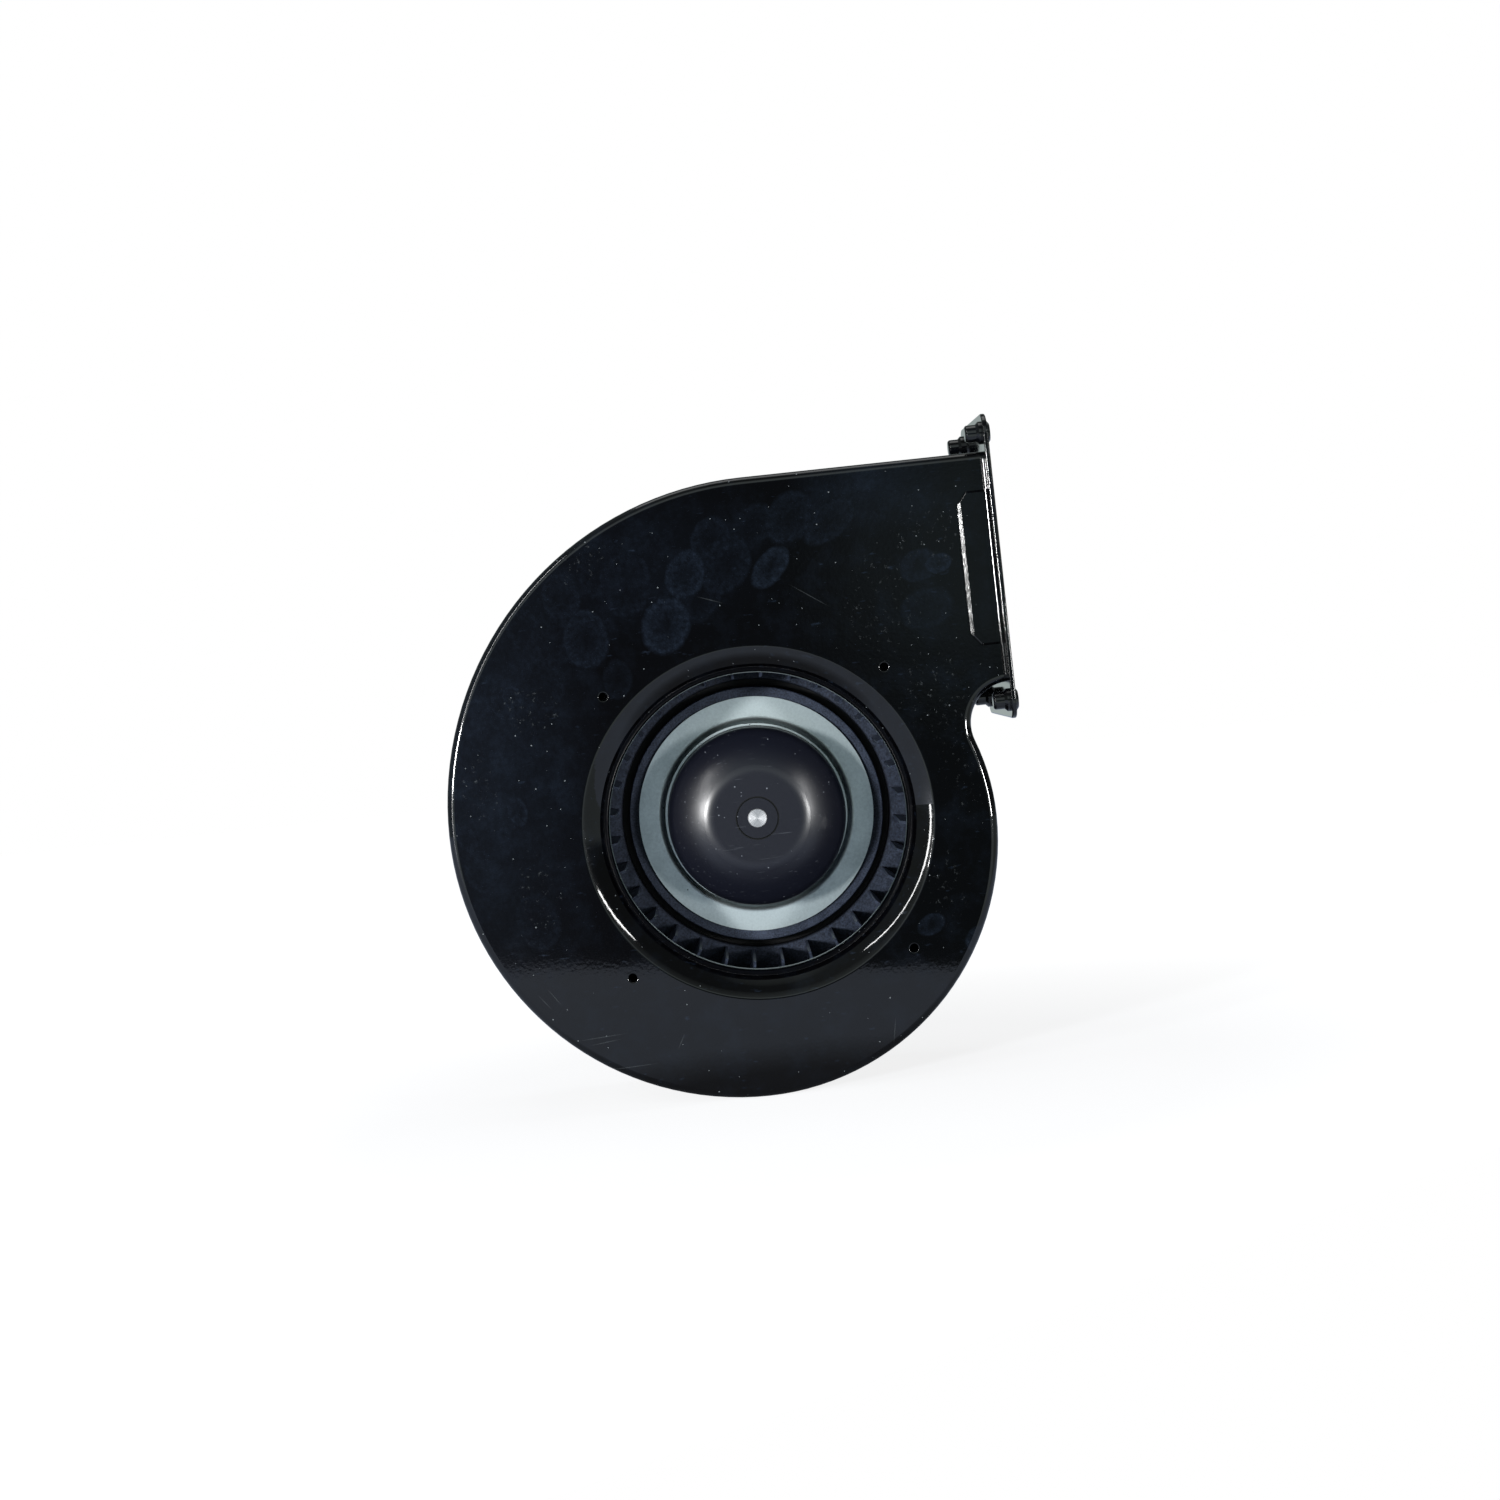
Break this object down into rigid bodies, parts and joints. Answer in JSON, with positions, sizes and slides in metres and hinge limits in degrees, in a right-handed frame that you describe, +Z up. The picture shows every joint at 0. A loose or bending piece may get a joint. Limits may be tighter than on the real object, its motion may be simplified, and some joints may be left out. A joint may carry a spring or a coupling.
{
  "type": "centrifugal blower fan",
  "caption": "Single-inlet centrifugal blower with a black sheet-steel scroll, drawn bell-mouth, forward-curved wheel, external-rotor motor and a flanged rectangular outlet.",
  "frame": {"origin": "on the fan axis in the plane of the inlet face, at the centre of the guard hole circle", "axes": "Y is the fan axis with the inlet facing -Y and the motor behind at +Y, the outlet faces +X, Z is up"},
  "size_m": [0.2323, 0.1115, 0.2628],
  "materials": {
    "housing_paint": "gloss black paint on sheet steel",
    "wheel_black": "satin black glass-filled plastic",
    "zinc": "bright zinc plating",
    "rotor_paint": "satin black paint on drawn steel",
    "steel": "turned bright steel",
    "magnet": "grey sintered ferrite",
    "lamination": "stacked electrical steel",
    "insulator": "cream moulded nylon",
    "copper": "enamelled copper wire",
    "cast_alloy": "die-cast alloy",
    "board": "green laminate",
    "component": "moulded component body",
    "can": "capacitor can",
    "rubber": "black rubber"
  },
  "bodies": {
    "housing": {"front_plate": "housing_paint", "scroll_wrap": "housing_paint", "back_plate": "housing_paint", "outlet_flange": "housing_paint", "motor_plate": "housing_paint", "flange_rivet_nuts": "housing_paint", "motor_plate_screws": "zinc", "motor_base_screws": "zinc", "cover_screws": "zinc", "board_screws": "zinc", "front_bearing_outer_race": "steel", "rear_bearing_outer_race": "steel", "preload_spring": "steel", "stator_core": "lamination", "front_insulator": "insulator", "rear_insulator": "insulator", "stator_coils": "copper", "motor_base": "cast_alloy", "motor_cover": "cast_alloy", "circuit_board": "board", "board_capacitors": "can", "board_transistors": "component", "board_controller": "component", "cover_gasket": "rubber", "cable_grommet": "rubber"},
    "rotor": {"rotor_cup": "rotor_paint", "rotor_bush": "rotor_paint", "shaft": "steel", "rotor_magnets": "magnet", "clamp_ring": "zinc", "wheel_disc": "wheel_black", "wheel_blades": "wheel_black", "wheel_ring": "wheel_black", "front_bearing_inner_race": "steel", "rear_bearing_inner_race": "steel", "shaft_clip": "steel"}
  },
  "joints": [
    {"name": "rotor_spin", "type": "hinge", "parent": "housing", "child": "rotor", "pos_m": [0, 0, 0], "axis": [0, 1, 0], "continuous": true}
  ]
}
